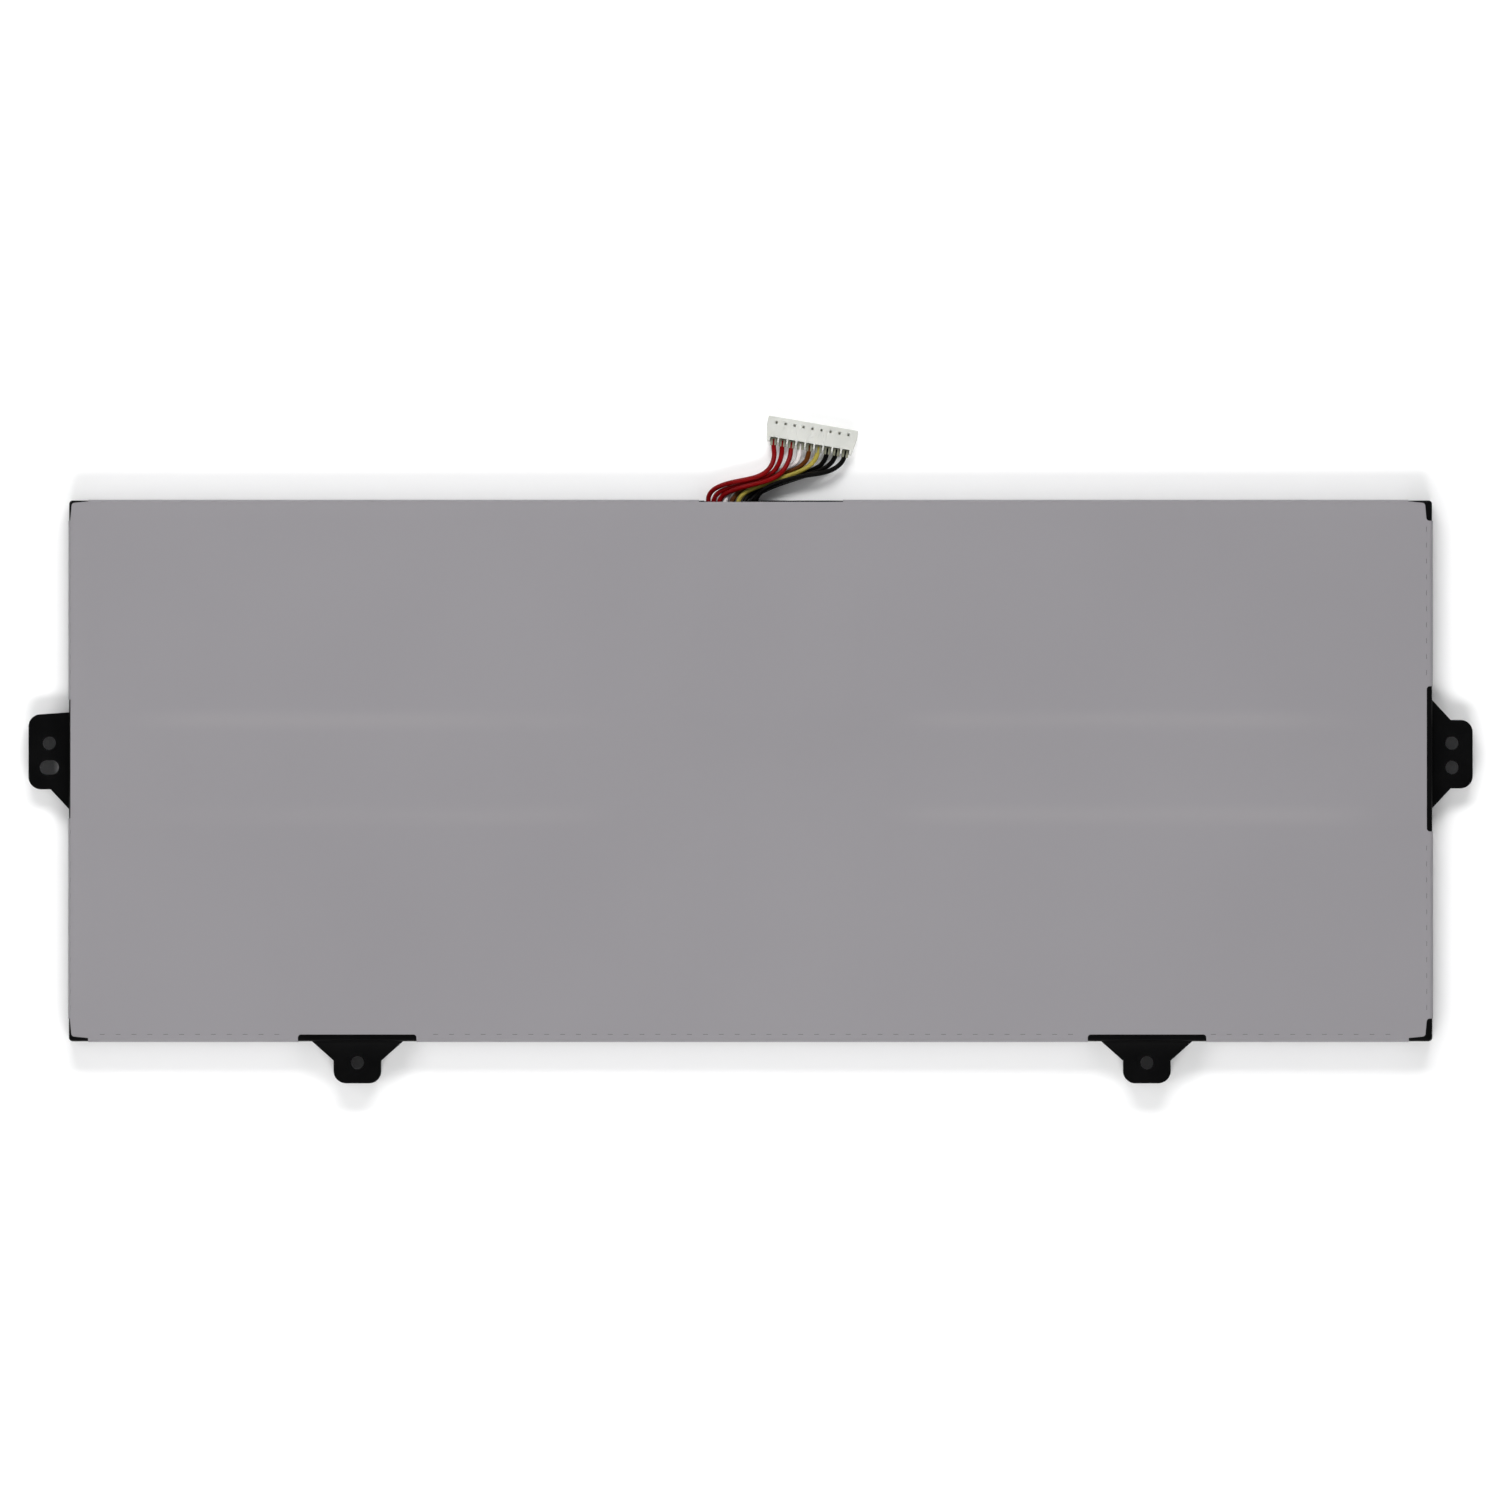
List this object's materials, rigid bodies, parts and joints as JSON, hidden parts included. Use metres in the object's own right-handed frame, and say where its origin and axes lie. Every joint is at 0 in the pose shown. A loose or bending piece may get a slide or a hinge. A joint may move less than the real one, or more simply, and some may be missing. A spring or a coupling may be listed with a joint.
{
  "type": "laptop battery",
  "caption": "Flat internal laptop battery: pouch cells in a black frame with screw ears, wrapped in grey film, with a short lead of coloured wires ending in a white plug.",
  "frame": {"origin": "centre of the pack's underside, without ears and lead, where it rests", "axes": "+X along the pack's long side, +Y across it towards the lead, +Z out of the grey face"},
  "size_m": [0.2378, 0.1099, 0.0054],
  "materials": {
    "frame_black": "fine matte moulding",
    "film_grey": "satin film",
    "film_black": "satin film",
    "pouch_foil": "dull laminated foil",
    "tab_aluminium": "rolled",
    "tab_nickel": "rolled",
    "board_green": "solder mask",
    "chip_black": "moulded",
    "chip_ceramic": "fired ceramic",
    "solder": "dull solder",
    "tape_amber": "smooth film tape",
    "plug_white": "satin moulding",
    "contact_metal": "tin plated",
    "wire_red": "satin insulation",
    "wire_white": "satin insulation",
    "wire_brown": "satin insulation",
    "wire_yellow": "satin insulation",
    "wire_black": "satin insulation"
  },
  "bodies": {
    "root": {"frame": "frame_black", "top_film": "film_grey", "base_film": "film_black", "cell_rear_left": "pouch_foil", "cell_rear_right": "pouch_foil", "cell_front_left": "pouch_foil", "cell_front_right": "pouch_foil", "positive_tab_rear_left": "tab_aluminium", "positive_tab_rear_right": "tab_aluminium", "positive_tab_front_left": "tab_aluminium", "positive_tab_front_right": "tab_aluminium", "negative_tab_rear_left": "tab_nickel", "negative_tab_rear_right": "tab_nickel", "negative_tab_front_left": "tab_nickel", "negative_tab_front_right": "tab_nickel", "weld_plates": "tab_nickel", "circuit_board": "board_green", "gauge_chip": "chip_black", "protector_chip": "chip_black", "charge_switch": "chip_black", "discharge_switch": "chip_black", "fuse": "chip_ceramic", "sense_resistor": "chip_black", "thermistor": "chip_ceramic", "capacitors": "chip_ceramic", "solder_joints": "solder", "board_tape": "tape_amber", "connector_housing": "plug_white", "terminal_1": "contact_metal", "terminal_2": "contact_metal", "terminal_3": "contact_metal", "terminal_4": "contact_metal", "terminal_5": "contact_metal", "terminal_6": "contact_metal", "terminal_7": "contact_metal", "terminal_8": "contact_metal", "terminal_9": "contact_metal", "wire_red_1": "wire_red", "wire_red_2": "wire_red", "wire_red_3": "wire_red", "wire_white": "wire_white", "wire_brown": "wire_brown", "wire_yellow": "wire_yellow", "wire_black_1": "wire_black", "wire_black_2": "wire_black", "wire_black_3": "wire_black"}
  },
  "joints": []
}
